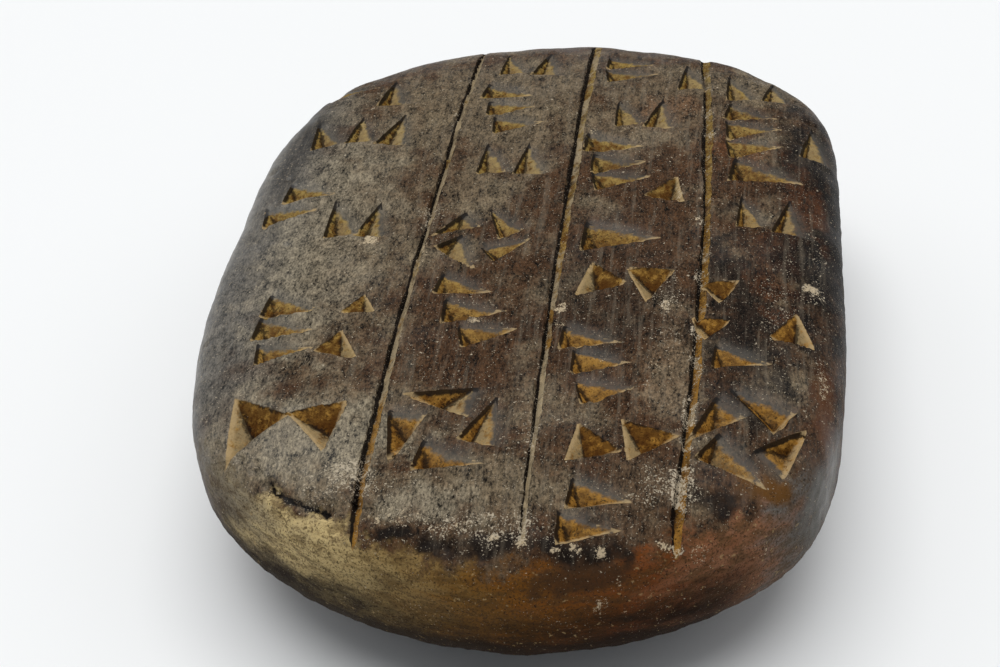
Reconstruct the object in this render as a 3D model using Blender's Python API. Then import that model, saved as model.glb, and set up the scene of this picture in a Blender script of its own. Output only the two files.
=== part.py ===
"""A cushion-shaped clay tablet, lying on its back: a ruled face with rows of wedge strokes.

Metres, +Z up. The face looks up, the ruled lines run along Y, and the near end is at -Y.
The strokes are pits like those a stylus leaves. They stand in groups, and spell nothing.
"""
import math
import random

import bmesh
import bpy
from mathutils import Matrix, Vector

# Body of the tablet
TABLET_WIDTH = 0.080
TABLET_LENGTH = 0.108
FACE_RISE = 0.0123          # the face above the widest line round the edge
BACK_DROP = 0.0174          # the back below that line, before it was set down
REST_FLAT_DEPTH = 0.0012    # how much the back is flattened where it lies
SIDE_BEND = 0.0031          # both ends lie this far to the right of the middle
END_ROUNDNESS = 1.8         # 2 is an elliptical end, more is a squarer one
SIDE_STRAIGHTNESS = 5.2     # 2 is an elliptical side, more is a straighter one
FACE_FLATNESS = 5.45
BACK_FLATNESS = 2.27
CORNER_SPREAD = math.radians(26)
# Each corner of the outline: its direction, and the share that was rubbed off its reach
CORNERS = ((-135, 0.044), (-45, 0.050), (45, 0.021), (135, 0.019))

# Mesh of the body: squares across, along and down, and how much they crowd to the rim
CELLS_ACROSS = 26
CELLS_ALONG = 34
CELLS_DOWN = 10
RIM_CROWDING = 0.62

# Ruled lines: three grooves that part the face into four columns
RULING_WIDTH = 0.0015
RULING_DEPTH = 0.0008
RULING_LIFT = 0.0012        # how far their cutter stands out of the face
RULING_END_SHARE = 0.25     # how deep a line starts, as a share of its depth
RULING_END_RAMP = 8.0       # how fast it gets there, in depths over its whole length
RULING_STATIONS = 30
# Each line: where it starts and ends across and along, and its bow to the right halfway,
# as shares of the half width and half length
RULINGS = (
    ((-0.329, -0.925), (-0.288, 0.925), -0.012),
    ((0.126, -0.925), (0.126, 0.945), -0.008),
    ((0.526, -0.905), (0.526, 0.920), 0.037),
)

# Wedge strokes
STROKE_LENGTH = 0.0078
STROKE_WIDTH = 0.0038
STROKE_DEPTH = 0.0014
CORNER_STROKE_SIZE = 0.0072
CORNER_STROKE_DEPTH = 0.0019
STROKE_LIFT = 0.55          # how far a cutter is carried on above the face, as a share of its depth
HEAD_SLOPE = 0.30           # the deepest point from the head, as a share of the stroke's length
GROUP_PITCH = 0.0040        # between neighbouring strokes of a group
STAIR_FAN = 9.0             # degrees between neighbouring strokes that lie one above the other
UPRIGHT_TURN = 97.0         # degrees from straight across to the tail of an upright stroke
UPRIGHT_FAN = 14.0
UPRIGHT_SPACING = 1.35      # in pitches
PINWHEEL_ARM = 1.15
PINWHEEL_SLANT = 62.0
HOOK_SPACING = 1.16         # in sizes of the stroke
HOOK_FAN = 38.0
LONG_SIZE = 1.28
HAND_SEED = 11
HAND_TURN = 5.0             # degrees by which the hand strays
HAND_DRIFT = 0.0003
HAND_SIZE = 0.08

CLAY_COLOUR = (0.085, 0.060, 0.042, 1.0)
CLAY_ROUGHNESS = 0.55
SHARP_EDGE = math.radians(30)

HALF_WIDTH = TABLET_WIDTH / 2
HALF_LENGTH = TABLET_LENGTH / 2


def clear_scene():
    for obj in list(bpy.data.objects):
        bpy.data.objects.remove(obj)


def clay_material():
    material = bpy.data.materials.new("fired_clay")
    material.use_nodes = True
    shader = material.node_tree.nodes["Principled BSDF"]
    shader.inputs["Base Color"].default_value = CLAY_COLOUR
    shader.inputs["Roughness"].default_value = CLAY_ROUGHNESS
    shader.inputs["Metallic"].default_value = 0.0
    return material


def outline_reach(angle):
    """How far the unbent outline reaches, in the plan where both halves of the sides measure 1."""
    across = abs(math.cos(angle))
    along = abs(math.sin(angle))
    low, high = 0.0, 2.0
    for _ in range(40):
        reach = (low + high) / 2
        if (reach * across) ** END_ROUNDNESS + (reach * along) ** SIDE_STRAIGHTNESS > 1:
            high = reach
        else:
            low = reach
    for corner, rubbed in CORNERS:
        off = math.remainder(angle - math.radians(corner), math.tau) / CORNER_SPREAD
        reach *= 1 - rubbed * math.exp(-off * off)
    return reach


def plan_share(x, y):
    """0 at the centre of the unbent plan and 1 on its outline."""
    across = x / HALF_WIDTH
    along = y / HALF_LENGTH
    return math.hypot(across, along) / outline_reach(math.atan2(along, across))


def bend(y):
    """How far the outline is pushed to the right at this place along it."""
    return SIDE_BEND * (y / HALF_LENGTH) ** 2


def face_height(x, y):
    """Height of the face above the widest line, at a point of the bent plan."""
    share = min(plan_share(x - bend(y), y), 0.999)
    return FACE_RISE * (1 - share ** FACE_FLATNESS) ** (1 / FACE_FLATNESS)


def crowd(share):
    """Moves a grid line towards the rim, where the form curves most."""
    return math.sin(share * math.pi / 2 * RIM_CROWDING) / math.sin(math.pi / 2 * RIM_CROWDING)


def cushion_point(cell):
    """A point of the box from -1 to 1, drawn in onto the cushion."""
    x = crowd(cell.x) * HALF_WIDTH
    y = crowd(cell.y) * HALF_LENGTH
    level = crowd(cell.z)
    flatness = FACE_FLATNESS if level > 0 else BACK_FLATNESS
    drawn = (plan_share(x, y) ** flatness + abs(level) ** flatness) ** (-1 / flatness)
    height = level * drawn * (FACE_RISE if level > 0 else BACK_DROP)
    return Vector((x * drawn + bend(y * drawn), y * drawn, height))


def build_body():
    """The cushion with its flat spot, as one closed mesh."""
    mesh = bmesh.new()
    bmesh.ops.create_grid(mesh, x_segments=CELLS_ACROSS, y_segments=CELLS_ALONG, size=1.0)
    bmesh.ops.translate(mesh, verts=mesh.verts, vec=(0, 0, 1))
    back = bmesh.ops.duplicate(mesh, geom=mesh.faces[:] + mesh.edges[:] + mesh.verts[:])["geom"]
    bmesh.ops.translate(mesh, verts=[g for g in back if isinstance(g, bmesh.types.BMVert)], vec=(0, 0, -2))
    rims = [edge for edge in mesh.edges if edge.is_boundary]
    bridged = bmesh.ops.bridge_loops(mesh, edges=rims)
    walls = [edge for edge in bridged["edges"] if abs(edge.verts[0].co.z - edge.verts[1].co.z) > 1]
    bmesh.ops.subdivide_edges(mesh, edges=walls, cuts=CELLS_DOWN - 1, use_grid_fill=True)
    for vert in mesh.verts:
        vert.co = cushion_point(vert.co)
    everything = mesh.verts[:] + mesh.edges[:] + mesh.faces[:]
    rest_level = Vector((0, 0, REST_FLAT_DEPTH - BACK_DROP))
    down = Vector((0, 0, -1))
    cut = bmesh.ops.bisect_plane(mesh, geom=everything, plane_co=rest_level, plane_no=down, clear_outer=True)
    rim = [g for g in cut["geom_cut"] if isinstance(g, bmesh.types.BMEdge)]
    bmesh.ops.edgeloop_fill(mesh, edges=rim)
    bmesh.ops.recalc_face_normals(mesh, faces=mesh.faces)
    return mesh


def ruling_cutter():
    """Three long V-shaped bars that follow the face, fading out at both ends."""
    mesh = bmesh.new()
    flare = RULING_WIDTH / 2 * (1 + RULING_LIFT / RULING_DEPTH)
    for start, end, bow in RULINGS:
        previous = None
        for i in range(RULING_STATIONS + 1):
            step = i / RULING_STATIONS
            across, along = Vector(start).lerp(Vector(end), step)
            x = (across + bow * math.sin(math.pi * step)) * HALF_WIDTH
            y = along * HALF_LENGTH
            surface = face_height(x, y)
            depth = RULING_DEPTH * min(1.0, RULING_END_SHARE + RULING_END_RAMP * min(step, 1 - step))
            ring = [
                mesh.verts.new((x - flare, y, surface + RULING_LIFT)),
                mesh.verts.new((x, y, surface - depth)),
                mesh.verts.new((x + flare, y, surface + RULING_LIFT)),
            ]
            if previous is None:
                mesh.faces.new(ring)
            else:
                for k in range(3):
                    mesh.faces.new((previous[k], previous[k - 1], ring[k - 1], ring[k]))
            previous = ring
        mesh.faces.new(reversed(previous))
    bmesh.ops.recalc_face_normals(mesh, faces=mesh.faces)
    return mesh


def wedge(x, y, turn, size=1.0):
    """A long stroke: its place, the direction of its tail in degrees, and its share of the usual size."""
    return (x, y, turn, STROKE_LENGTH * size, STROKE_WIDTH * size, STROKE_DEPTH * size)


def hook(x, y, turn, size=1.0):
    """A stroke as wide as it is long."""
    side = CORNER_STROKE_SIZE * size
    return (x, y, turn, side, side, CORNER_STROKE_DEPTH * size)


def centred(count):
    """Whole steps from first to last, with 0 in the middle."""
    return [i - (count - 1) / 2 for i in range(count)]


def stair(count, lean):
    """Strokes laid across, one above the other, each a step further on."""
    steps = centred(count)
    return [wedge(-step * lean * GROUP_PITCH, step * GROUP_PITCH, -STAIR_FAN * step) for step in steps]


def uprights(count):
    """Strokes side by side that lean outwards, their tails away from the near end."""
    pitch = GROUP_PITCH * UPRIGHT_SPACING
    return [wedge(step * pitch, 0, UPRIGHT_TURN - UPRIGHT_FAN * step) for step in centred(count)]


def pinwheel(count, size, turn):
    """Strokes that chase each other round a point."""
    strokes = []
    for i in range(count):
        angle = turn + 360 * i / count
        place = Vector((GROUP_PITCH * PINWHEEL_ARM * size, 0))
        place.rotate(Matrix.Rotation(math.radians(angle), 2))
        strokes.append(wedge(*place, angle + PINWHEEL_SLANT, size))
    return strokes


def hooks(count, size, turn):
    """Wide strokes in a row, each turned a little further."""
    pitch = CORNER_STROKE_SIZE * size * HOOK_SPACING
    return [hook(step * pitch, 0, turn + HOOK_FAN * step, size) for step in centred(count)]


def long_stroke(turn):
    return [wedge(0, 0, turn, LONG_SIZE)]


def moved(strokes, across, along):
    """The same strokes, shifted by so many pitches."""
    return [(x + across * GROUP_PITCH, y + along * GROUP_PITCH, *rest) for x, y, *rest in strokes]


def column_groups():
    """The groups of each column, near to far: a place in half widths and half lengths, and its strokes."""
    left = [
        ((-0.594, -0.656), hooks(2, 1.08, -93)),
        ((-0.605, -0.348), moved(stair(3, 0.1), -0.6, 0) + moved(hooks(1, 0.72, -30), 1.3, -0.8)
         + moved(hooks(1, 0.6, -150), 1.3, 1.1)),
        ((-0.664, 0.085), moved(stair(2, -0.5), -1.0, 0.7) + moved(uprights(2), 1.0, -0.2)),
        ((-0.656, 0.459), uprights(3)),
        ((-0.640, 0.650), moved(uprights(1), 0.7, 0) + moved(stair(1, 0), -0.8, 0.4)),
    ]
    middle_left = [
        ((-0.129, -0.641), pinwheel(4, 1.12, 20)),
        ((-0.104, -0.270), stair(3, 0.45)),
        ((-0.140, -0.004), pinwheel(4, 0.92, 65)),
        ((-0.110, 0.330), uprights(2)),
        ((-0.121, 0.560), stair(3, 0.25)),
        ((-0.104, 0.802), uprights(2)),
    ]
    middle_right = [
        ((0.311, -0.839), stair(2, -0.3)),
        ((0.365, -0.667), moved(hooks(1, 0.86, -14), -0.65, -0.1) + moved(hooks(1, 0.86, 9), 0.75, 0.25)),
        ((0.285, -0.433), stair(3, 0.35)),
        ((0.314, -0.106), moved(long_stroke(-6), 0, 1.6) + moved(hooks(2, 0.84, -115), 0, -0.8)),
        ((0.321, 0.289), moved(stair(3, 0.2), -0.5, 0.5) + moved(hooks(1, 0.8, 74), 1.2, -1.0)),
        ((0.329, 0.552), uprights(2)),
        ((0.335, 0.767), moved(stair(2, 0), -0.6, 0.2) + moved(uprights(1), 1.5, -0.2)),
    ]
    right = [
        ((0.706, -0.611), pinwheel(4, 1.02, -10)),
        ((0.704, -0.272), moved(hooks(1, 0.66, 40), -0.8, 1.5) + moved(hooks(1, 0.66, 25), -1.0, -0.2)
         + moved(hooks(1, 0.8, 80), 1.3, 0) + moved(stair(1, 0), -0.2, -1.7)),
        ((0.756, 0.181), moved(long_stroke(-10), 0, 1.5) + moved(uprights(2), 0, -0.7)),
        ((0.764, 0.483), moved(stair(3, 0.1), -0.5, 0) + moved(uprights(1), 1.5, -0.3)),
        ((0.711, 0.702), uprights(2)),
    ]
    return left + middle_left + middle_right + right


def all_strokes():
    """Every stroke on the face, with the small errors of the hand that made it."""
    hand = random.Random(HAND_SEED)
    for (across, along), group in column_groups():
        for x, y, turn, length, width, depth in group:
            x += across * HALF_WIDTH + hand.uniform(-HAND_DRIFT, HAND_DRIFT)
            y += along * HALF_LENGTH + hand.uniform(-HAND_DRIFT, HAND_DRIFT)
            size = hand.uniform(1 - HAND_SIZE, 1 + HAND_SIZE)
            turn += hand.uniform(-HAND_TURN, HAND_TURN)
            yield x, y, math.radians(turn), length * size, width * size, depth * size


def stroke_cutter():
    """One four-sided point for each stroke, its tip at the bottom of the pit."""
    mesh = bmesh.new()
    for x, y, turn, length, width, depth in all_strokes():
        along = Vector((math.cos(turn), math.sin(turn)))
        side = Vector((-along.y, along.x))
        head = Vector((x, y)) - along * length / 2
        deepest = head + along * length * HEAD_SLOPE
        tip = Vector((*deepest, face_height(*deepest) - depth))
        corners = (head + side * width / 2, head - side * width / 2, head + along * length)
        rim = []
        for corner in corners:
            on_face = Vector((*corner, face_height(*corner)))
            rim.append(mesh.verts.new(tip + (on_face - tip) * (1 + STROKE_LIFT)))
        bottom = mesh.verts.new(tip)
        mesh.faces.new(rim)
        for k in range(3):
            mesh.faces.new((rim[k], rim[k - 1], bottom))
    bmesh.ops.recalc_face_normals(mesh, faces=mesh.faces)
    return mesh


def object_from(mesh, name):
    data = bpy.data.meshes.new(name)
    mesh.to_mesh(data)
    mesh.free()
    obj = bpy.data.objects.new(name, data)
    bpy.context.scene.collection.objects.link(obj)
    return obj


def centre_on_rest(objects):
    """Moves everything so that the origin lies under the middle of the body, on its flat spot."""
    body = objects[0]
    xs = [vert.co.x for vert in body.data.vertices]
    ys = [vert.co.y for vert in body.data.vertices]
    shift = Vector((-(min(xs) + max(xs)) / 2, -(min(ys) + max(ys)) / 2, BACK_DROP - REST_FLAT_DEPTH))
    for obj in objects:
        for vert in obj.data.vertices:
            vert.co += shift


def cut(body, cutter):
    cutter.hide_render = True
    cutter.display_type = "WIRE"
    modifier = body.modifiers.new(cutter.name, "BOOLEAN")
    modifier.operation = "DIFFERENCE"
    modifier.solver = "EXACT"
    modifier.use_self = True
    modifier.object = cutter


def build_tablet():
    tablet = object_from(build_body(), "tablet")
    rulings = object_from(ruling_cutter(), "ruling_cutter")
    strokes = object_from(stroke_cutter(), "stroke_cutter")
    centre_on_rest((tablet, rulings, strokes))
    tablet.data.materials.append(clay_material())
    tablet.data.shade_smooth()
    tablet.data.set_sharp_from_angle(angle=SHARP_EDGE)
    cut(tablet, rulings)
    cut(tablet, strokes)


clear_scene()
build_tablet()
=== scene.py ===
import math
import random
from collections import defaultdict

import bmesh
import bpy
import numpy as np
from bpy.props import FloatProperty, FloatVectorProperty, IntProperty, PointerProperty
from mathutils import Matrix, Quaternion, Vector, noise


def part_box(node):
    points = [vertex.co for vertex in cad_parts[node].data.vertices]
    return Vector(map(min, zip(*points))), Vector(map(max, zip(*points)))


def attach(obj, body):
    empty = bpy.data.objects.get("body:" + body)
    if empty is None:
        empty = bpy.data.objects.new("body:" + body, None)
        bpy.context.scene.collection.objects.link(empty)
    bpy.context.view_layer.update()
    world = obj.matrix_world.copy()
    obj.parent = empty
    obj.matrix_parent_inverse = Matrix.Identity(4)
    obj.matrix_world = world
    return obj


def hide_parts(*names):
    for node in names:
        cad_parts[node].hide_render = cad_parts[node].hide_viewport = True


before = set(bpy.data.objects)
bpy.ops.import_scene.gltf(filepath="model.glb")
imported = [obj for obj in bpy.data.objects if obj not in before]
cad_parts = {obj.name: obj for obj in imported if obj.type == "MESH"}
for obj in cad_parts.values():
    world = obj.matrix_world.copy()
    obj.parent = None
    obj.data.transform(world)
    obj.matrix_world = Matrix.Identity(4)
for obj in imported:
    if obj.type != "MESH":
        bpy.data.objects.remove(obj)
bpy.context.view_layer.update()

bl_info = {
    "name": "Ruled Clay Tablet",
    "version": (1, 0, 0),
    "blender": (4, 5, 0),
    "location": "View3D > Sidebar > Tablet",
    "description": "Builds a worn clay tablet with ruled columns and wedge strokes, and its studio",
    "category": "Object",
}

LOW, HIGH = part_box("tablet")
SIZE = HIGH - LOW
PIECE = "clay_tablet"
MM = 0.001

# Form of the cushion, as shares of its own sizes
FACE_RISE = 0.4316
BACK_DROP = 0.6105
REST_FLAT = 0.0421
SIDE_BEND = 0.0775
END_ROUNDNESS = 1.8
SIDE_STRAIGHTNESS = 5.2
FACE_FLATNESS = 5.45
BACK_FLATNESS = 2.27
CORNER_SPREAD = math.radians(26)
CORNERS = ((-135, 0.044), (-45, 0.050), (45, 0.021), (135, 0.019))
RIM_CROWDING = 0.35

# Mesh of the body: share of the box the face's cells cover, and the rows of its wall in face cells
CELLS_SPAN = (0.88, 0.90)
FINE_ROW = 1.2
COARSE_ROW = 2.8
COARSE_BELOW = 0.35
LAST_ROW = -0.93
SCORED_ABOVE = 0.35
PRESSED_ABOVE = 0.2
RULING_SNAP = 0.47

# Ruled lines: start and end in half widths and half lengths, bow to the right, and width at each end
RULINGS = (
    ((-0.329, -0.925), (-0.288, 0.935), -0.012, 0.78, 0.64),
    ((0.126, -0.930), (0.126, 0.950), -0.008, 0.52, 1.15),
    ((0.526, -0.905), (0.526, 0.925), 0.037, 0.80, 1.00),
)
RULING_VALLEY = -0.45

# Strokes and their groups
STROKE_LENGTH = 7.8 * MM
STROKE_WIDTH = 4.5 * MM
STROKE_DEPTH = 1.4 * MM
CORNER_STROKE_SIZE = 7.2 * MM
CORNER_STROKE_DEPTH = 1.9 * MM
GROUP_PITCH = 4.0 * MM
STAIR_FAN = 9.0
UPRIGHT_TURN = 97.0
UPRIGHT_FAN = 14.0
UPRIGHT_SPACING = 1.35
PINWHEEL_ARM = 1.15
PINWHEEL_SLANT = 62.0
HOOK_SPACING = 1.16
HOOK_FAN = 38.0
LONG_SIZE = 1.28
HAND_SEED = 11
HAND_TURN = 5.0
HAND_DRIFT = 0.3 * MM
HAND_SIZE = 0.08
HOOK_PROPORTION = 0.9

# Which side of a stroke is which, by the way it faces in plan, and how far each facet spans
TOWARDS_VIEWER = (0.45, -0.89)
# The side that faces the dark way is the steep one, which is painted in shade
HOOK_DARK_WAY = (-0.1, 1.0)
WEDGE_DARK_WAY = (-1.0, 0.0)
# The soft side is painted paler the more it faces this way, and a hook's by a fixed share: painted light
LIT_WAY = (-0.85, 0.53)
HOOK_LIT_SHARE = 0.8
HOOK_SPANS = (0.9, 0.16, 0.55)
WEDGE_SPANS = (0.5, 0.2, 1.0)
LIP_REACH = 0.28 * MM
NEARBY = 3.5 * MM


class ClayBodySettings(bpy.types.PropertyGroup):
    cell: FloatProperty(
        name="Face cell", description="Spacing of the mesh on the ruled face",
        default=0.39 * MM, unit="LENGTH")
    back_thinning: IntProperty(
        name="Back thinning", description="How many face cells one cell of the back covers", default=4)


class CarvingSettings(bpy.types.PropertyGroup):
    ruling_width: FloatProperty(
        name="Ruling width", description="Width of a ruled groove", default=1.5 * MM, unit="LENGTH")
    ruling_depth: FloatProperty(
        name="Ruling depth", description="Depth of a ruled groove", default=0.80 * MM, unit="LENGTH")
    lip: FloatProperty(
        name="Lip", description="Clay pushed up beside a stroke", default=0.06 * MM, unit="LENGTH")
    flank: FloatProperty(
        name="Flank", description="Depth of the shallow hollow beside a long stroke",
        default=0.42 * MM, unit="LENGTH")
    flank_reach: FloatProperty(
        name="Flank reach", description="Width of the shallow hollow", default=2.4 * MM, unit="LENGTH")


class WearSettings(bpy.types.PropertyGroup):
    swell: FloatProperty(
        name="Swell", description="Height of the broad waves of the hand-smoothed face",
        default=0.34 * MM, unit="LENGTH")
    grit: FloatProperty(
        name="Grit", description="Height of the fine roughness", default=0.035 * MM, unit="LENGTH")
    crust: FloatProperty(
        name="Crust", description="Thickness of the lime crust", default=0.28 * MM, unit="LENGTH")
    chip: FloatProperty(
        name="Chip depth", description="Depth of the deepest small chips",
        default=0.35 * MM, unit="LENGTH")
    chips: IntProperty(name="Chips", description="How many small chips there are all over", default=80)
    crest_chips: IntProperty(
        name="Crest chips", description="How many chips there are along the near crest", default=60)
    seed: IntProperty(name="Seed", description="Picks another set of chips", default=5)


def colour(name, description, default):
    return FloatVectorProperty(
        name=name, description=description, subtype="COLOR", size=3, min=0, max=1, default=default)


class ClayColourSettings(bpy.types.PropertyGroup):
    patina: colour("Patina", "Dark brown of the handled face", (0.042, 0.021, 0.010))
    umber: colour("Umber", "Lighter brown of the face", (0.118, 0.092, 0.058))
    ash: colour("Ash", "Palest dull grey-brown, at the left", (0.190, 0.165, 0.118))
    # Slate is partly painted reflection: the cool grey of sheen at the rims
    slate_and_sheen: colour("Slate", "Cool grey of the left edge", (0.085, 0.080, 0.068))
    # Soot is the near-black of real soot patches, and also the painted shadow along the steep side of the
    # strokes
    soot_and_shade: colour("Soot", "Nearly black patches", (0.007, 0.005, 0.004))
    rust: colour("Rust", "Red-brown spots", (0.100, 0.034, 0.010))
    ochre: colour("Ochre", "Bare clay in the near strokes", (0.330, 0.165, 0.030))
    gold: colour("Gold", "Bare clay in the far strokes", (0.300, 0.205, 0.060))
    sienna: colour("Sienna", "Darker clay deep in the strokes", (0.110, 0.046, 0.007))
    # Straw is a lit copy of the bare clay: painted light on the side of a stroke that faces the light
    lit_straw: colour("Straw", "Paler clay on the gentle side of a stroke", (0.320, 0.245, 0.130))
    lime: colour("Lime", "Pale crust", (0.560, 0.450, 0.300))
    khaki: colour("Khaki", "Sandy clay of the near edge", (0.590, 0.450, 0.215))


class StageSettings(bpy.types.PropertyGroup):
    floor: colour("Floor", "Colour of the floor", (0.86, 0.87, 0.88))
    camera_place: FloatVectorProperty(
        name="Camera place", description="Where the camera stands", subtype="TRANSLATION",
        size=3, default=(25.9 * MM, -166.4 * MM, 154.3 * MM))
    camera_aim: FloatVectorProperty(
        name="Camera aim", description="The point at the middle of the view", subtype="TRANSLATION",
        size=3, default=(-2.7 * MM, -8.9 * MM, 20.0 * MM))
    camera_roll: FloatProperty(
        name="Camera roll", description="Turn of the camera about its own axis", subtype="ANGLE",
        default=math.radians(-4.96))
    lens: FloatProperty(name="Lens", description="Focal length in millimetres", default=59.9)


def plan_reach(angle):
    """Reach of the unbent outline in these directions, in the plan where both half sizes are 1."""
    across = np.abs(np.cos(angle))
    along = np.abs(np.sin(angle))
    low = np.zeros_like(angle)
    high = np.full_like(angle, 2.0)
    for _ in range(40):
        middle = (low + high) / 2
        outside = (middle * across) ** END_ROUNDNESS + (middle * along) ** SIDE_STRAIGHTNESS > 1
        high = np.where(outside, middle, high)
        low = np.where(outside, low, middle)
    for corner, rubbed in CORNERS:
        off = np.angle(np.exp(1j * (angle - math.radians(corner)))) / CORNER_SPREAD
        middle = middle * (1 - rubbed * np.exp(-off * off))
    return middle


def plan_extents():
    """Lowest and highest reach across and along of the bent outline, in half sizes."""
    angle = np.linspace(0, math.tau, 1440)
    reach = plan_reach(angle)
    along = reach * np.sin(angle)
    across = reach * np.cos(angle) + SIDE_BEND * along ** 2
    return across.min(), across.max(), along.min(), along.max()


WEST, EAST, SOUTH, NORTH = plan_extents()
HALF_WIDTH = SIZE.x / (EAST - WEST)
HALF_LENGTH = SIZE.y / (NORTH - SOUTH)
MIDDLE = Vector((
    LOW.x - WEST * HALF_WIDTH, LOW.y - SOUTH * HALF_LENGTH, LOW.z + (BACK_DROP - REST_FLAT) * SIZE.z))


def plan_share(across, along):
    """0 in the middle of the unbent plan and 1 on its outline."""
    return np.hypot(across, along) / plan_reach(np.arctan2(along, across))


def crowd(share):
    """Moves a grid line towards the rim."""
    return np.sin(share * math.pi / 2 * RIM_CROWDING) / math.sin(math.pi / 2 * RIM_CROWDING)


def onto_cushion(box_points):
    """Points of the box from -1 to 1, drawn in onto the cushion with its flat spot."""
    across, along, level = crowd(box_points).T
    flatness = np.where(level > 0, FACE_FLATNESS, BACK_FLATNESS)
    drawn = (plan_share(across, along) ** flatness + np.abs(level) ** flatness) ** (-1 / flatness)
    height = level * drawn * np.where(level > 0, FACE_RISE, BACK_DROP)
    height = np.maximum(height, REST_FLAT - BACK_DROP)
    along = along * drawn
    across = across * drawn + SIDE_BEND * along ** 2
    return np.stack([
        MIDDLE.x + across * HALF_WIDTH, MIDDLE.y + along * HALF_LENGTH, MIDDLE.z + height * SIZE.z], 1)


def box_mesh(cells_across, cells_along, rows, thinning):
    """A box from -1 to 1, with a fine top and walls and a coarse back."""
    mesh = bmesh.new()
    bmesh.ops.create_grid(mesh, x_segments=cells_across, y_segments=cells_along, size=1.0)
    bmesh.ops.translate(mesh, verts=mesh.verts, vec=(0, 0, 1))
    rim = [edge for edge in mesh.edges if edge.is_boundary]
    level = 1.0
    for next_level in rows:
        geometry = bmesh.ops.extrude_edge_only(mesh, edges=rim)["geom"]
        verts = [item for item in geometry if isinstance(item, bmesh.types.BMVert)]
        rim = [item for item in geometry if isinstance(item, bmesh.types.BMEdge) and item.is_boundary]
        bmesh.ops.translate(mesh, verts=verts, vec=(0, 0, next_level - level))
        level = next_level
    made = bmesh.ops.create_grid(
        mesh, x_segments=cells_across // thinning, y_segments=cells_along // thinning, size=1.0)
    bmesh.ops.translate(mesh, verts=made["verts"], vec=(0, 0, -1))
    back = set(made["verts"])
    back_rim = [edge for edge in mesh.edges if edge.is_boundary and edge.verts[0] in back]
    bmesh.ops.bridge_loops(mesh, edges=rim + back_rim)
    bmesh.ops.recalc_face_normals(mesh, faces=mesh.faces)
    return mesh


def wall_rows(cell):
    """Levels of the wall's rows from the face down: fine near the face, coarse near the back."""
    rows = []
    level = 1.0
    while level > LAST_ROW:
        level -= cell * (FINE_ROW if level > COARSE_BELOW else COARSE_ROW) / (SIZE.z * 0.5)
        rows.append(level)
    return rows


def points_of(data):
    points = np.empty(len(data.vertices) * 3, np.float32)
    data.vertices.foreach_get("co", points)
    return points.reshape(-1, 3).astype(float)


def set_points(data, points):
    data.vertices.foreach_set("co", points.astype(np.float32).ravel())
    data.update()


def tablet_object():
    obj = bpy.data.objects.get(PIECE)
    if obj is None:
        raise RuntimeError("shape the clay body first")
    return obj


class Ruling:
    """One ruled line: its middle and its ragged half width at every place along."""

    def __init__(self, start, end, bow, near_width, far_width, width, seed):
        step = np.linspace(0, 1, 600)
        self.along = MIDDLE.y + (start[1] + (end[1] - start[1]) * step) * HALF_LENGTH
        across = start[0] + (end[0] - start[0]) * step + bow * np.sin(math.pi * step)
        ragged = np.array([noise.fractal((y / (2.2 * MM), seed, 0.5), 1.0, 2.0, 3) for y in self.along])
        drift = np.array([noise.noise((y / (9 * MM), seed, 3.5)) for y in self.along])
        self.across = MIDDLE.x + across * HALF_WIDTH + drift * 0.2 * MM
        self.half = width / 2 * (near_width + (far_width - near_width) * step) * (1 + 0.30 * ragged)

    def middle_at(self, y):
        return np.interp(y, self.along, self.across)

    def half_at(self, y):
        return np.interp(y, self.along, self.half)

    def within(self, y):
        return (y > self.along[0]) & (y < self.along[-1])

    def end_share(self, y):
        return np.clip(np.minimum(y - self.along[0], self.along[-1] - y) / (3.5 * MM), 0, 1)


def all_rulings(width):
    return [Ruling(*line, width, seed + 0.5) for seed, line in enumerate(RULINGS)]


def snap_to_rulings(points, on_top, width, cell):
    """Moves the nearest grid columns onto the valley and the two sides of each ruled line."""
    for ruling in all_rulings(width):
        for side in (-1, RULING_VALLEY, 1):
            line = ruling.middle_at(points[:, 1]) + side * ruling.half_at(points[:, 1])
            off = line - points[:, 0]
            near = on_top & (np.abs(off) < cell * RULING_SNAP) & ruling.within(points[:, 1])
            points[near, 0] += off[near]
    return points


def wedge(x, y, turn, size=1.0):
    """A long stroke: its place, the direction of its tail in degrees, and its size as a share."""
    return (x, y, turn, STROKE_LENGTH * size, STROKE_WIDTH * size, STROKE_DEPTH * size)


def hook(x, y, turn, size=1.0):
    """A stroke as wide as it is long."""
    side = CORNER_STROKE_SIZE * size
    return (x, y, turn, side, side, CORNER_STROKE_DEPTH * size)


def centred(count):
    """Whole steps from first to last, with 0 in the middle."""
    return [i - (count - 1) / 2 for i in range(count)]


def stair(count, lean):
    """Strokes laid across, one above the other, each a step further on."""
    return [
        wedge(-step * lean * GROUP_PITCH, step * GROUP_PITCH, -STAIR_FAN * step) for step in centred(count)]


def uprights(count):
    """Strokes side by side that lean outwards, their tails away from the near end."""
    pitch = GROUP_PITCH * UPRIGHT_SPACING
    return [wedge(step * pitch, 0, UPRIGHT_TURN - UPRIGHT_FAN * step) for step in centred(count)]


def pinwheel(count, size, turn):
    """Strokes that chase each other round a point."""
    strokes = []
    for i in range(count):
        angle = turn + 360 * i / count
        place = Vector((GROUP_PITCH * PINWHEEL_ARM * size, 0))
        place.rotate(Matrix.Rotation(math.radians(angle), 2))
        strokes.append(wedge(*place, angle + PINWHEEL_SLANT, size))
    return strokes


def hooks(count, size, turn):
    """Wide strokes in a row, each turned a little further."""
    pitch = CORNER_STROKE_SIZE * size * HOOK_SPACING
    return [hook(step * pitch, 0, turn + HOOK_FAN * step, size) for step in centred(count)]


def long_stroke(turn):
    return [wedge(0, 0, turn, LONG_SIZE)]


def moved(strokes, across, along):
    """The same strokes, shifted by so many pitches."""
    return [(x + across * GROUP_PITCH, y + along * GROUP_PITCH, *rest) for x, y, *rest in strokes]


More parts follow.
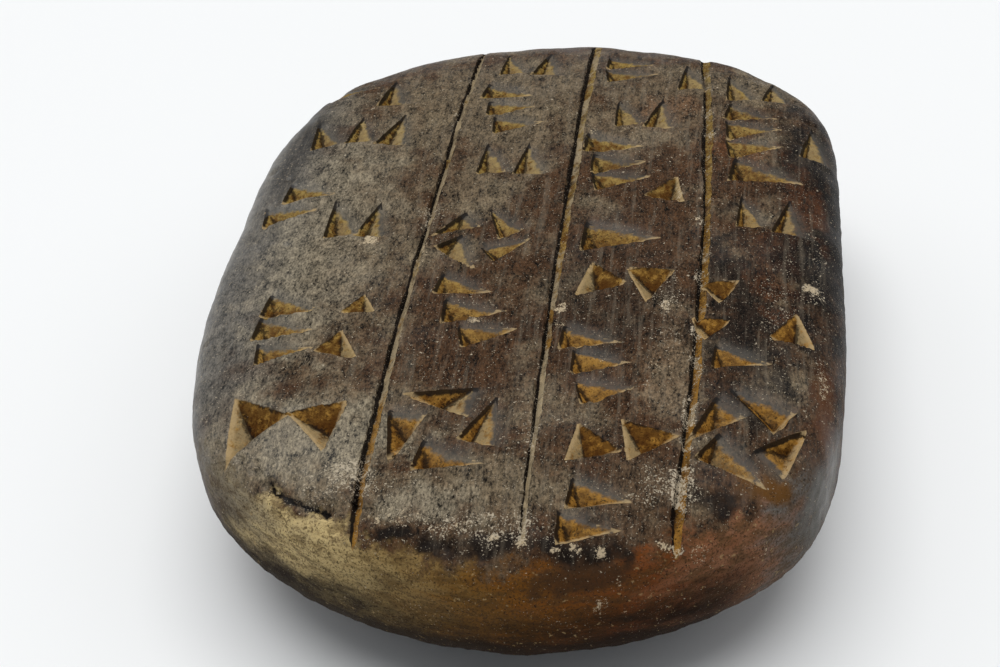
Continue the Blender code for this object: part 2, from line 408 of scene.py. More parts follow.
def column_groups():
    """The groups of each column, near to far: place in half widths and half lengths, and strokes."""
    left = [
        ((-0.594, -0.656), hooks(2, 1.08, -93)),
        ((-0.605, -0.348), moved(stair(3, 0.1), -0.6, 0) + moved(hooks(1, 0.72, -30), 1.3, -0.8)
         + moved(hooks(1, 0.6, -150), 1.3, 1.1)),
        ((-0.664, 0.085), moved(stair(2, -0.5), -1.0, 0.7) + moved(uprights(2), 1.0, -0.2)),
        ((-0.656, 0.459), uprights(3)),
        ((-0.640, 0.650), moved(uprights(1), 0.7, 0) + moved(stair(1, 0), -0.8, 0.4)),
    ]
    middle_left = [
        ((-0.129, -0.641), pinwheel(4, 1.12, 20)),
        ((-0.104, -0.270), stair(3, 0.45)),
        ((-0.140, -0.004), pinwheel(4, 0.92, 65)),
        ((-0.110, 0.330), uprights(2)),
        ((-0.121, 0.560), stair(3, 0.25)),
        ((-0.104, 0.802), uprights(2)),
    ]
    middle_right = [
        ((0.311, -0.839), stair(2, -0.3)),
        ((0.365, -0.667), moved(hooks(1, 0.86, -14), -0.65, -0.1) + moved(hooks(1, 0.86, 9), 0.75, 0.25)),
        ((0.285, -0.433), stair(3, 0.35)),
        ((0.314, -0.106), moved(long_stroke(-6), 0, 1.6) + moved(hooks(2, 0.84, -115), 0, -0.8)),
        ((0.321, 0.289), moved(stair(3, 0.2), -0.5, 0.5) + moved(hooks(1, 0.8, 74), 1.2, -1.0)),
        ((0.329, 0.552), uprights(2)),
        ((0.335, 0.767), moved(stair(2, 0), -0.6, 0.2) + moved(uprights(1), 1.5, -0.2)),
    ]
    right = [
        ((0.706, -0.611), pinwheel(4, 1.02, -10)),
        ((0.704, -0.272), moved(hooks(1, 0.66, 40), -0.8, 1.5) + moved(hooks(1, 0.66, 25), -1.0, -0.2)
         + moved(hooks(1, 0.8, 80), 1.3, 0) + moved(stair(1, 0), -0.2, -1.7)),
        ((0.756, 0.181), moved(long_stroke(-10), 0, 1.5) + moved(uprights(2), 0, -0.7)),
        ((0.764, 0.483), moved(stair(3, 0.1), -0.5, 0) + moved(uprights(1), 1.5, -0.3)),
        ((0.711, 0.702), uprights(2)),
    ]
    return left + middle_left + middle_right + right


class Stroke:
    """One wedge stroke in plan. Its sides are, in order, the steep dark one, painted in shade, the near one,
    which gets a painted lit edge, and the soft one, painted paler where it faces the light.
    """

    def __init__(self, x, y, turn, length, width, depth):
        along = np.array((math.cos(turn), math.sin(turn)))
        across = np.array((-along[1], along[0]))
        head = np.array((x, y)) - along * length / 2
        self.corners = [head + across * width / 2, head - across * width / 2, head + along * length]
        self.depth = depth
        self.is_hook = width > HOOK_PROPORTION * length
        middle = sum(self.corners) / 3
        sides = []
        for k in range(3):
            a, b, opposite = (self.corners[(k + step) % 3] for step in range(3))
            inward = np.array((a[1] - b[1], b[0] - a[0])) / np.linalg.norm(b - a)
            if (middle - a) @ inward < 0:
                inward = -inward
            sides.append((a, b, opposite, inward))
        near = max(sides, key=lambda side: -side[3] @ TOWARDS_VIEWER)
        rest = [side for side in sides if side is not near]
        dark_way = HOOK_DARK_WAY if self.is_hook else WEDGE_DARK_WAY
        dark = max(rest, key=lambda side: -side[3] @ dark_way)
        soft = [side for side in rest if side is not dark][0]
        self.sides = [dark, near, soft]
        self.tone = HOOK_LIT_SHARE if self.is_hook else float(np.clip(soft[3] @ LIT_WAY, 0, 1))
        spans = HOOK_SPANS if self.is_hook else WEDGE_SPANS
        weights = [np.linalg.norm(b - a) * span for (a, b, _, _), span in zip(self.sides, spans)]
        self.deepest = sum(weight * side[2] for weight, side in zip(weights, self.sides)) / sum(weights)

    def shares(self, plan):
        """For each side, how far in these points lie: 0 on the side, 1 level with the deepest point."""
        return np.array([
            (plan - a) @ inward / ((self.deepest - a) @ inward) for a, _, _, inward in self.sides])

    def outside(self, plan):
        """How far these points lie outside the stroke, and beyond its soft side alone."""
        insides = np.array([(plan - a) @ inward for a, _, _, inward in self.sides])
        return np.clip(-insides.min(0), 0, None), np.clip(-insides[2], 0, None)


def all_strokes():
    """Every stroke on the face, with the small errors of the hand that made it."""
    hand = random.Random(HAND_SEED)
    strokes = []
    for (across, along), group in column_groups():
        for x, y, turn, length, width, depth in group:
            x += MIDDLE.x + across * HALF_WIDTH + hand.uniform(-HAND_DRIFT, HAND_DRIFT)
            y += MIDDLE.y + along * HALF_LENGTH + hand.uniform(-HAND_DRIFT, HAND_DRIFT)
            size = hand.uniform(1 - HAND_SIZE, 1 + HAND_SIZE)
            turn += hand.uniform(-HAND_TURN, HAND_TURN)
            strokes.append(Stroke(x, y, math.radians(turn), length * size, width * size, depth * size))
    return strokes


class FaceMap:
    """The faces of the tablet's top, found by their place."""

    PITCH = 2 * MM

    def __init__(self, faces):
        self.cells = defaultdict(set)
        self.add(faces)

    def add(self, faces):
        for face in faces:
            centre = face.calc_center_median()
            self.cells[int(centre.x // self.PITCH), int(centre.y // self.PITCH)].add(face)

    def near(self, low, high):
        found = set()
        for i in range(int(low[0] // self.PITCH), int(high[0] // self.PITCH) + 1):
            for j in range(int(low[1] // self.PITCH), int(high[1] // self.PITCH) + 1):
                cell = {face for face in self.cells[i, j] if face.is_valid}
                self.cells[i, j] = cell
                found |= cell
        return found


def score_line(mesh, faces, a, b):
    """Cuts an edge into these faces along the upright plane through two points of the plan."""
    edges = {edge for face in faces for edge in face.edges}
    verts = {vert for face in faces for vert in face.verts}
    made = bmesh.ops.bisect_plane(
        mesh, geom=list(faces) + list(edges) + list(verts), dist=0.01 * MM,
        plane_co=(a[0], a[1], 0), plane_no=(a[1] - b[1], b[0] - a[0], 0))
    return {item for item in made["geom"] if isinstance(item, bmesh.types.BMFace)}


def score_stroke(mesh, face_map, stroke):
    """Cuts a stroke's three sides, and the three valleys that meet at its deepest point, into the mesh."""
    margin = 0.5 * MM
    low = np.min(stroke.corners, 0) - margin
    high = np.max(stroke.corners, 0) + margin
    faces = face_map.near(low, high)
    for a, b, _, _ in stroke.sides:
        faces = score_line(mesh, faces, a, b)
    ordered = list(faces)
    centres = np.array([face.calc_center_median()[:2] for face in ordered])
    inside = stroke.shares(centres).min(0) > 0
    inner = {face for face, is_inside in zip(ordered, inside) if is_inside}
    outer = faces - inner
    for corner in stroke.corners:
        inner = score_line(mesh, inner, corner, stroke.deepest)
    face_map.add(outer | inner)


def noise_at(points, scale, octaves=1, seed=0.0):
    """Smooth noise from -1 to 1 at these points, with features of about this size."""
    offset = Vector((seed * 13.7, seed * 7.3, seed * 3.1))
    values = []
    for point in points / scale:
        position = Vector(point) + offset
        if octaves == 1:
            values.append(noise.noise(position))
        else:
            values.append(noise.fractal(position, 1.0, 2.0, octaves))
    return np.array(values)


def smooth_step(low, high, values):
    share = np.clip((values - low) / (high - low), 0, 1)
    return share * share * (3 - 2 * share)


def write_attribute(data, name, values):
    attribute = data.attributes.get(name) or data.attributes.new(name, "FLOAT", "POINT")
    attribute.data.foreach_set("value", values.astype(np.float32))


def normals_of(data):
    normals = np.empty(len(data.vertices) * 3, np.float32)
    data.vertex_normals.foreach_get("vector", normals)
    return normals.reshape(-1, 3).astype(float)


class TABLET_OT_shape_body(bpy.types.Operator):
    """Shapes the cushion of clay, scored where strokes will be pressed"""

    bl_idname = "tablet.shape_body"
    bl_label = "Shape clay body"

    def execute(self, context):
        settings = context.scene.tablet_body
        carving = context.scene.tablet_carving
        cells_across = round(SIZE.x * CELLS_SPAN[0] / settings.cell)
        cells_along = round(SIZE.y * CELLS_SPAN[1] / settings.cell)
        mesh = box_mesh(cells_across, cells_along, wall_rows(settings.cell), settings.back_thinning)
        data = bpy.data.meshes.new(PIECE)
        mesh.to_mesh(data)
        mesh.free()
        box_points = points_of(data)
        points = onto_cushion(box_points)
        on_top = box_points[:, 2] > 0.999
        set_points(data, snap_to_rulings(points, on_top, carving.ruling_width, settings.cell))

        mesh = bmesh.new()
        mesh.from_mesh(data)
        top = MIDDLE.z + SCORED_ABOVE * FACE_RISE * SIZE.z
        face_map = FaceMap([face for face in mesh.faces if face.calc_center_median().z > top])
        for stroke in all_strokes():
            score_stroke(mesh, face_map, stroke)
        mesh.to_mesh(data)
        mesh.free()
        obj = bpy.data.objects.new(PIECE, data)
        context.scene.collection.objects.link(obj)
        return {"FINISHED"}


def stroke_relief(plan, stroke, settings):
    """Height that one stroke gives these points of the plan, and its three shares there."""
    shares = stroke.shares(plan)
    least = shares.min(0)
    depth = stroke.depth * np.clip(least, 0, 1)
    off, beyond = stroke.outside(plan)
    hollow = np.zeros(len(plan))
    if not stroke.is_hook:
        a, b = stroke.sides[2][:2]
        tail = stroke.corners[2]
        head = b if np.allclose(a, tail) else a
        run = (plan - head) @ (tail - head) / ((tail - head) @ (tail - head))
        ends = np.clip(shares[0] / 0.4, 0, 1) * np.clip(shares[1] / 0.4, 0, 1)
        ends *= smooth_step(1.05, 0.55, run)
        hollow = settings.flank * np.clip(1 - beyond / settings.flank_reach, 0, 1) ** 2 * ends
    step = off / LIP_REACH
    lip = settings.lip * step * np.exp(1 - step) * (1 - hollow / settings.flank)
    marks = np.where(least > 0, np.clip(shares, -1, 4), np.clip(least, -1, 0))
    return lip - np.maximum(depth, hollow), least, marks, hollow / settings.flank


def ruling_relief(points, settings):
    """Depth of the ruled lines, with the share inside them and the place across them from -1 to 1."""
    cut = np.zeros(len(points))
    share = np.full(len(points), -1.0)
    side = np.full(len(points), 1.5)
    for ruling in all_rulings(settings.ruling_width):
        off = (points[:, 0] - ruling.middle_at(points[:, 1])) / ruling.half_at(points[:, 1])
        left_rise = (off + 1) / (RULING_VALLEY + 1)
        right_rise = (1 - off) / (1 - RULING_VALLEY)
        rise = np.where(off < RULING_VALLEY, left_rise, right_rise)
        ends = ruling.end_share(points[:, 1])
        cut = np.maximum(cut, np.clip(rise, 0, 1) * settings.ruling_depth * ends)
        found = np.where(ends > 0, np.clip(1 - np.abs(off), -1, 1) - (1 - np.clip(ends * 4, 0, 1)), -1)
        side = np.where(found > share, np.clip(off, -1.5, 1.5), side)
        share = np.maximum(share, found)
    return cut, share, side


class TABLET_OT_press_carving(bpy.types.Operator):
    """Presses the ruled lines and the wedge strokes into the face"""

    bl_idname = "tablet.press_carving"
    bl_label = "Press lines and strokes"

    def execute(self, context):
        settings = context.scene.tablet_carving
        data = tablet_object().data
        points = points_of(data)
        normals = normals_of(data)
        top = np.flatnonzero(points[:, 2] > MIDDLE.z + PRESSED_ABOVE * FACE_RISE * SIZE.z)
        plan = points[top, :2]
        cut, groove, groove_side = ruling_relief(points[top], settings)
        height = -cut
        best = np.full(len(top), -1.0)
        marks = np.full((3, len(top)), -1.0)
        tone = np.zeros(len(top))
        hooked = np.zeros(len(top))
        flank = np.zeros(len(top))
        for stroke in all_strokes():
            middle = sum(stroke.corners) / 3
            reach = max(np.linalg.norm(corner - middle) for corner in stroke.corners) + NEARBY
            close = np.flatnonzero(np.linalg.norm(plan - middle, axis=1) < reach)
            rise, least, found, hollow = stroke_relief(plan[close], stroke, settings)
            flank[close] = np.maximum(flank[close], hollow)
            old = height[close]
            height[close] = np.where((rise < 0) | (old < 0), np.minimum(old, rise), np.maximum(old, rise))
            better = least > best[close]
            best[close[better]] = least[better]
            marks[:, close[better]] = found[:, better]
            tone[close[better]] = stroke.tone
            hooked[close[better]] = stroke.is_hook
        points[top] += normals[top] * height[:, None]
        set_points(data, points)
        for name, values, usual in (
                ("stroke_dark", marks[0], -1), ("stroke_near", marks[1], -1),
                ("stroke_soft", marks[2], -1), ("stroke_lit_share", tone, 0), ("hooked", hooked, 0),
                ("flank", flank, 0), ("groove", groove, -1), ("groove_side", groove_side, 1.5),
                ("depth", -height / MM, 0)):
            whole = np.full(len(points), float(usual))
            whole[top] = values
            write_attribute(data, name, whole)
        return {"FINISHED"}


# Lime crust: place, then half its width and length, in millimetres, and how thick
CRUSTS = (
    (-8.5, -47.4, 26.5, 5.5, 1.3, 0.58),
    (-2.6, -48.6, 26.5, 3.0, 1.1, 0.60),
    (2.2, -49.5, 26.2, 0.8, 0.7, 1.0),
    (4.9, -49.8, 26.1, 1.0, 0.7, 1.0),
    (8.7, -50.2, 25.8, 0.7, 0.6, 0.95),
    (10.7, -49.9, 25.8, 0.8, 0.6, 0.95),
    (13.3, -49.9, 25.4, 0.8, 1.2, 1.0),
    (15.5, -51.6, 23.4, 0.7, 0.6, 0.8),
    (20.1, -48.3, 24.9, 1.8, 1.2, 0.72),
    (23.5, -47.5, 23.2, 1.4, 0.9, 0.65),
    (13.3, -52.6, 20.0, 1.1, 0.9, 0.8),
    (16.0, -51.9, 18.0, 0.7, 0.6, 0.7),
    (29.5, -43.8, 20.0, 1.6, 1.0, 0.5),
    (-19.8, -1.3, 28.5, 1.3, 0.9, 1.1),
    (5.9, -14.0, 28.5, 1.0, 1.2, 1.0),
    (6.2, -17.2, 28.5, 1.0, 0.8, 0.7),
    (-6.1, 2.3, 28.5, 0.9, 0.6, 0.6),
    (35.3, -7.4, 26.9, 1.4, 1.0, 1.1),
    (18.2, -12.6, 28.5, 0.8, 1.6, 0.8),
    (-4.2, -16.4, 28.5, 1.5, 0.6, 0.8),
    (36.6, -22.5, 25.6, 0.8, 4.0, 0.7),
    (11.4, -22.5, 28.5, 1.6, 0.8, 0.6),
    (-14.8, -41.0, 27.5, 3.4, 2.6, 0.45),
    (-22.0, -40.5, 27.2, 3.4, 2.0, 0.40),
    (19.0, 10.0, 28.5, 0.7, 3.5, 0.75),
    (21.2, 4.0, 28.5, 0.6, 2.2, 0.7),
    (17.6, -24.0, 28.4, 0.7, 2.2, 0.7),
    (-12.5, -4.0, 28.5, 0.8, 4.0, 0.6),
    (6.5, 24.0, 28.5, 0.8, 4.0, 0.6),
)
CRUST_REACH_UP = 1.6

# Sizes of the bumps of each kind of wear
SWELL_SIZE = 13 * MM
RIPPLE_SIZE = 4 * MM
RIPPLE_HEIGHT = 0.08 * MM
GRIT_SIZE = 1.3 * MM
LUMP_SIZE = 1.1 * MM
CRUMB_SIZE = 0.8 * MM
CHIP_RADII = (0.35 * MM, 1.1 * MM)
CREST_CHIP_RADII = (0.5 * MM, 1.6 * MM)
CREST_CHIP_ANGLES = (-90, 28)
CREST_CHIP_SHARES = (0.90, 0.99)

# The crease along the near left crest: its points in plan in millimetres, and its width and depth
CREASE = ((-24.0, -42.4), (-22.2, -43.9), (-19.7, -45.2), (-16.4, -46.5))
CREASE_HALF_WIDTH = 0.7 * MM
CREASE_DEPTH = 0.5 * MM
CREASE_FAR = 3 * MM


class TABLET_OT_weather(bpy.types.Operator):
    """Wears, chips and crusts the surface"""

    bl_idname = "tablet.weather"
    bl_label = "Weather the surface"

    def crust_share(self, points):
        rough = noise_at(points, LUMP_SIZE, 3, 8.0)
        share = np.zeros(len(points))
        for *centre, half_width, half_length, thick in CRUSTS:
            off = np.linalg.norm((points / MM - centre) / (half_width, half_length, CRUST_REACH_UP), axis=1)
            off += 0.55 * rough
            share = np.maximum(share, thick * smooth_step(1.25, 0.45, off))
        return share

    def chip_depth(self, points, settings):
        chance = random.Random(settings.seed)
        depth = np.zeros(len(points))
        spots = []
        for _ in range(settings.chips):
            spots.append((points[chance.randrange(len(points))], chance.uniform(*CHIP_RADII)))
        for _ in range(settings.crest_chips):
            angle = math.radians(chance.gauss(*CREST_CHIP_ANGLES))
            share = chance.uniform(*CREST_CHIP_SHARES)
            reach = float(plan_reach(np.array([angle]))[0]) * share
            x = MIDDLE.x + reach * math.cos(angle) * HALF_WIDTH
            y = MIDDLE.y + reach * math.sin(angle) * HALF_LENGTH
            rise = FACE_RISE * (1 - share ** FACE_FLATNESS) ** (1 / FACE_FLATNESS)
            spots.append((np.array((x, y, MIDDLE.z + rise * SIZE.z)), chance.uniform(*CREST_CHIP_RADII)))
        for centre, radius in spots:
            off = np.linalg.norm(points - centre, axis=1) / radius
            depth = np.maximum(depth, settings.chip * radius / CHIP_RADII[1] * smooth_step(1.0, 0.2, off))
        return depth

    def crease_distance(self, points):
        """How far these points lie from the crease along the near left crest, up to 3 mm."""
        line = np.array(CREASE) * MM
        off = np.full(len(points), CREASE_FAR)
        for a, b in zip(line, line[1:]):
            run = np.clip(((points[:, :2] - a) @ (b - a)) / ((b - a) @ (b - a)), 0, 1)
            off = np.minimum(off, np.linalg.norm(points[:, :2] - a - run[:, None] * (b - a), axis=1))
        return np.where(points[:, 2] > MIDDLE.z + 5 * MM, off, CREASE_FAR)

    def execute(self, context):
        settings = context.scene.tablet_wear
        data = tablet_object().data
        points = points_of(data)
        normals = normals_of(data)
        lying = smooth_step(0.0, 1.0 * MM, points[:, 2] - LOW.z)
        swell = noise_at(points, SWELL_SIZE, 2, 1.0) * settings.swell
        swell += noise_at(points, RIPPLE_SIZE, 2, 2.0) * RIPPLE_HEIGHT
        grit = noise_at(points, GRIT_SIZE, 3, 3.0) * settings.grit
        wall = smooth_step(-0.2, 0.6, -normals[:, 2] + 0.5)
        crust = self.crust_share(points)
        crease = self.crease_distance(points)
        chips = self.chip_depth(points, settings)
        crumbs = 0.6 + 0.6 * noise_at(points, CRUMB_SIZE, 2, 9.0)
        height = swell + grit * (1 + 2.0 * wall) + crust * crumbs * settings.crust - chips
        height -= np.clip(1 - crease / CREASE_HALF_WIDTH, 0, 1) * CREASE_DEPTH
        set_points(data, points + normals * (height * lying)[:, None])
        write_attribute(data, "crust", crust)
        write_attribute(data, "crease", crease / MM)
        write_attribute(data, "chips", chips / settings.chip)
        data.shade_smooth()
        data.set_sharp_from_angle(angle=math.radians(28))
        obj = tablet_object()
        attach(obj, "root")
        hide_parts("tablet")
        return {"FINISHED"}


def place(tree, kind, settings=None, **inputs):
    """Adds a node with these settings, and inputs as values or links. Spaces in names are underscores."""
    node = tree.nodes.new(kind)
    for key, value in (settings or {}).items():
        setattr(node, key, value)
    for key, value in inputs.items():
        if key.startswith("input_"):
            socket = node.inputs[int(key[6:])]
        else:
            socket = node.inputs[key.replace("_", " ")]
        if isinstance(value, bpy.types.NodeSocket):
            tree.links.new(value, socket)
        else:
            socket.default_value = value
    return node


def math_node(tree, operation, first, second=0.0, third=0.0, clamp=False):
    node = place(tree, "ShaderNodeMath", {"operation": operation, "use_clamp": clamp},
                 input_0=first, input_1=second, input_2=third)
    return node.outputs[0]


def blend_colours(tree, share, first, second, how="MIX"):
    node = tree.nodes.new("ShaderNodeMix")
    node.data_type = "RGBA"
    node.blend_type = how
    sockets = (node.inputs["Factor"], node.inputs[6], node.inputs[7])
    for socket, value in zip(sockets, (share, first, second)):
        if isinstance(value, bpy.types.NodeSocket):
            tree.links.new(value, socket)
        elif isinstance(value, float):
            socket.default_value = value
        else:
            socket.default_value = (*value, 1.0)
    return node.outputs[2]


def ramp(tree, value, low, high):
    """0 below low, 1 above high, smooth between. High may be the lower one."""
    node = place(tree, "ShaderNodeMapRange", {"interpolation_type": "SMOOTHSTEP"},
                 Value=value, From_Min=low, From_Max=high)
    return node.outputs["Result"]


def noise_texture(tree, vector, scale, detail=3.0, rough=0.55):
    node = place(tree, "ShaderNodeTexNoise", Vector=vector, Scale=scale, Detail=detail, Roughness=rough)
    return node.outputs["Fac"]


def new_group(name, inputs, outputs):
    """An empty shader group with these sockets: (name, kind, default) in, (name, kind) out."""
    group = bpy.data.node_groups.new(name, "ShaderNodeTree")
    for label, kind, default in inputs:
        socket = group.interface.new_socket(label, in_out="INPUT", socket_type=kind)
        if default is not None:
            socket.default_value = default
    for label, kind in outputs:
        group.interface.new_socket(label, in_out="OUTPUT", socket_type=kind)
    return group, group.nodes.new("NodeGroupInput"), group.nodes.new("NodeGroupOutput")


def soft_patch_group():
    """A ragged patch round a centre: 1 inside and 0 outside."""
    group, source, target = new_group(
        "soft_patch",
        [("Vector", "NodeSocketVector", None), ("Centre", "NodeSocketVector", None),
         ("Reach", "NodeSocketVector", (0.01, 0.01, 0.01)), ("Ragged", "NodeSocketFloat", 0.5),
         ("Core", "NodeSocketFloat", 0.35)],
        [("Mask", "NodeSocketFloat")])
    off = place(group, "ShaderNodeVectorMath", {"operation": "SUBTRACT"},
                input_0=source.outputs["Vector"], input_1=source.outputs["Centre"]).outputs[0]
    scaled = place(group, "ShaderNodeVectorMath", {"operation": "DIVIDE"},
                   input_0=off, input_1=source.outputs["Reach"]).outputs[0]
    length = place(group, "ShaderNodeVectorMath", {"operation": "LENGTH"}, input_0=scaled)
    rough = noise_texture(group, source.outputs["Vector"], 260.0, 4.0, 0.6)
    rough = math_node(group, "SUBTRACT", rough, 0.5)
    rough = math_node(group, "MULTIPLY", rough, source.outputs["Ragged"])
    length = math_node(group, "ADD", length.outputs["Value"], rough)
    mask = place(group, "ShaderNodeMapRange", {"interpolation_type": "SMOOTHSTEP"},
                 Value=length, From_Min=1.0, From_Max=source.outputs["Core"])
    group.links.new(mask.outputs["Result"], target.inputs["Mask"])
    return group


def grains_group():
    """Fine grains, rare at density 0 and crowded at density 1: 1 on a grain and 0 between."""
    group, source, target = new_group(
        "grains",
        [("Vector", "NodeSocketVector", None), ("Scale", "NodeSocketFloat", 3500.0),
         ("Density", "NodeSocketFloat", 0.3)],
        [("Mask", "NodeSocketFloat")])
    speckle = noise_texture(group, source.outputs["Vector"], source.outputs["Scale"], 2.0, 0.6)
    start = math_node(group, "MULTIPLY_ADD", source.outputs["Density"], -0.34, 0.76)
    full = math_node(group, "ADD", start, 0.08)
    mask = place(group, "ShaderNodeMapRange", {"interpolation_type": "SMOOTHSTEP"},
                 Value=speckle, From_Min=start, From_Max=full)
    group.links.new(mask.outputs["Result"], target.inputs["Mask"])
    return group


def striations_group():
    """Fine lines along Y, as smoothing with a tool leaves them: 0 to 1."""
    group, source, target = new_group(
        "striations",
        [("Vector", "NodeSocketVector", None), ("Scale", "NodeSocketFloat", 1.0)],
        [("Value", "NodeSocketFloat")])
    stretched = place(group, "ShaderNodeVectorMath", {"operation": "MULTIPLY"},
                      input_0=source.outputs["Vector"], input_1=(1500.0, 110.0, 300.0)).outputs[0]
    lines = noise_texture(group, stretched, source.outputs["Scale"], 3.0, 0.6)
    group.links.new(lines, target.inputs["Value"])
    return group


def use_group(tree, group, output, **inputs):
    node = tree.nodes.new("ShaderNodeGroup")
    node.node_tree = group
    for key, value in inputs.items():
        if isinstance(value, bpy.types.NodeSocket):
            tree.links.new(value, node.inputs[key])
        else:
            node.inputs[key].default_value = value
    return node.outputs[output]


# Broad patches of the patina: colour, centre and reach in millimetres, raggedness, strength
PATCHES = (
    # The slate patch at the left edge is a cool grey that stands partly for reflected sheen: painted
    # reflection
    ("slate_and_sheen", (-35, 0, 26), (14, 62, 14), 0.5, 0.8),
    ("umber", (-22, -38, 29), (22, 12, 8), 0.8, 0.9),
    ("umber", (-24, 0, 29), (14, 34, 8), 0.8, 0.6),
    ("umber", (0, -43, 28), (16, 6, 6), 1.0, 0.75),
    ("umber", (-8, 30, 29), (26, 20, 8), 0.9, 0.7),
    ("umber", (18, 34, 29), (14, 14, 8), 0.9, 0.5),
    ("umber", (28, 38, 28), (7, 10, 6), 0.9, 0.7),
    ("umber", (-7.5, 10, 29), (7, 8, 6), 0.8, 0.6),
    ("umber", (17, -43, 28), (8, 6, 5), 0.9, 0.25),
    ("ash", (-20, -37, 29), (16, 9, 6), 0.9, 0.55),
    ("ash", (-26, -2, 29), (11, 30, 6), 0.9, 0.40),
    ("ash", (-5, -45.5, 28), (9, 3.5, 4), 1.0, 0.55),
    ("soot_and_shade", (-34, 22, 25.5), (3.2, 26, 6), 0.9, 0.75),
    ("soot_and_shade", (37.0, 8, 24), (8, 42, 12), 0.9, 0.98),
    ("soot_and_shade", (28, -14, 28), (8, 22, 5), 1.4, 0.85),
    ("soot_and_shade", (12, -14, 28), (10, 14, 5), 1.6, 0.45),
    ("rust", (35, 10, 26.5), (4.0, 9, 4), 1.2, 0.32),
    ("rust", (31, -4, 28), (4, 12, 4), 1.5, 0.35),
    ("rust", (26, 22, 29), (6, 8, 4), 1.5, 0.30),
    ("rust", (16, 30, 29), (7, 5, 4), 1.4, 0.35),
    ("rust", (18, -26.5, 28.5), (5, 8, 4), 1.6, 0.45),
    ("umber", (18.5, -27, 28.5), (5, 8, 4), 1.6, 0.70),
    ("soot_and_shade", (32, -3, 27.5), (5, 7, 4), 1.2, 0.75),
)

# Patches that lie over both the face and the near wall
CREST_PATCHES = (
    ("sienna", (31.0, -39.8, 25.4), (8.0, 2.8, 2.4), 1.0, 0.90),
    ("rust", (36.4, -27, 25.4), (2.4, 9, 2.4), 1.6, 0.60),
    ("rust", (36.6, 8, 25.8), (2.2, 7, 2.0), 1.8, 0.30),
    ("soot_and_shade", (39.5, 15, 24.5), (3.4, 15, 5), 1.0, 0.92),
    ("soot_and_shade", (26, -42.5, 27), (5.5, 2.6, 2.5), 1.3, 0.8),
    ("soot_and_shade", (-8.4, -49.0, 25.8), (4.0, 1.2, 1.6), 1.8, 0.95),
    ("patina", (7, -50.0, 25.4), (18, 2.2, 2.3), 1.3, 0.80),
    ("patina", (11, -52.0, 23.6), (11, 3.0, 2.4), 1.1, 0.80),
    ("soot_and_shade", (5, -50.0, 25.7), (19, 1.6, 1.6), 1.5, 0.90),
    # These slate patches on the right rim and its near corner are painted sheen, the grey of reflected light
    ("slate_and_sheen", (37.5, -36, 18.5), (4.6, 10, 7), 1.1, 0.85),
    ("slate_and_sheen", (41.5, -12, 17), (2.2, 36, 5), 1.1, 0.65),
)

# Where pale grains are crowded: centre and reach in millimetres, and how much
GRAINY = (
    ((-14, -43, 27), (14, 6, 4), 0.62),
    ((2, -48, 27), (17, 5, 4), 0.58),
    ((-12, 4, 29), (7, 7, 4), 0.50),
    ((-6, -14, 29), (9, 12, 4), 0.42),
    ((18.5, -12, 29), (4.5, 18, 4), 0.52),
    ((31, -12, 27), (7, 32, 5), 0.48),
    ((36, -4, 26), (3, 40, 3), 0.50),
    ((-35, 14, 26), (5, 44, 6), 0.40),
    ((20, -42, 27), (8, 7, 5), 0.60),
    ((-16, 34, 29), (10, 14, 5), 0.42),
    ((4, -34, 29), (30, 16, 5), 0.40),
)

# Where the patina is polished: centre and reach in millimetres, and how much
POLISHED = (
    ((-37, 0, 24), (13, 66, 14), 0.8),
    ((-24, -38, 28), (16, 12, 8), 0.35),
    ((-4, 44, 28), (34, 16, 8), 0.30),
    ((38, -36, 20), (6, 14, 10), 0.7),
    ((42, -12, 17), (3, 38, 7), 0.35),
)


# Lesser colours of the finish
# Grey of rubbed clay beside the strokes, partly painted sheen
SMOOTHED_AND_SHEEN = (0.092, 0.084, 0.070)
SCRATCHED = (0.20, 0.165, 0.120)
LIMED_LINE = (0.37, 0.290, 0.178)
HOOK_SHADE = (0.060, 0.022, 0.004)
LIT_EDGE = (0.42, 0.30, 0.155)
DEEP_GRAIN = (0.026, 0.011, 0.002)
# Pale grains, partly painted glints
PALE_GRAIN_AND_GLINT = (0.53, 0.45, 0.335)
WALL_BLOTCH = (0.070, 0.038, 0.012)
WALL_DARK_GRAIN = (0.045, 0.024, 0.010)
WALL_PALE_GRAIN = (0.40, 0.28, 0.13)
# Painted shade at the foot of the near wall
WALL_FOOT_SHADE = (0.010, 0.004, 0.001)

# Fixed gloss of the clay
SPECULAR_LEVEL = 0.06
SHEEN_ROUGHNESS = 0.42
BUMP_HEIGHT = 0.22 * MM


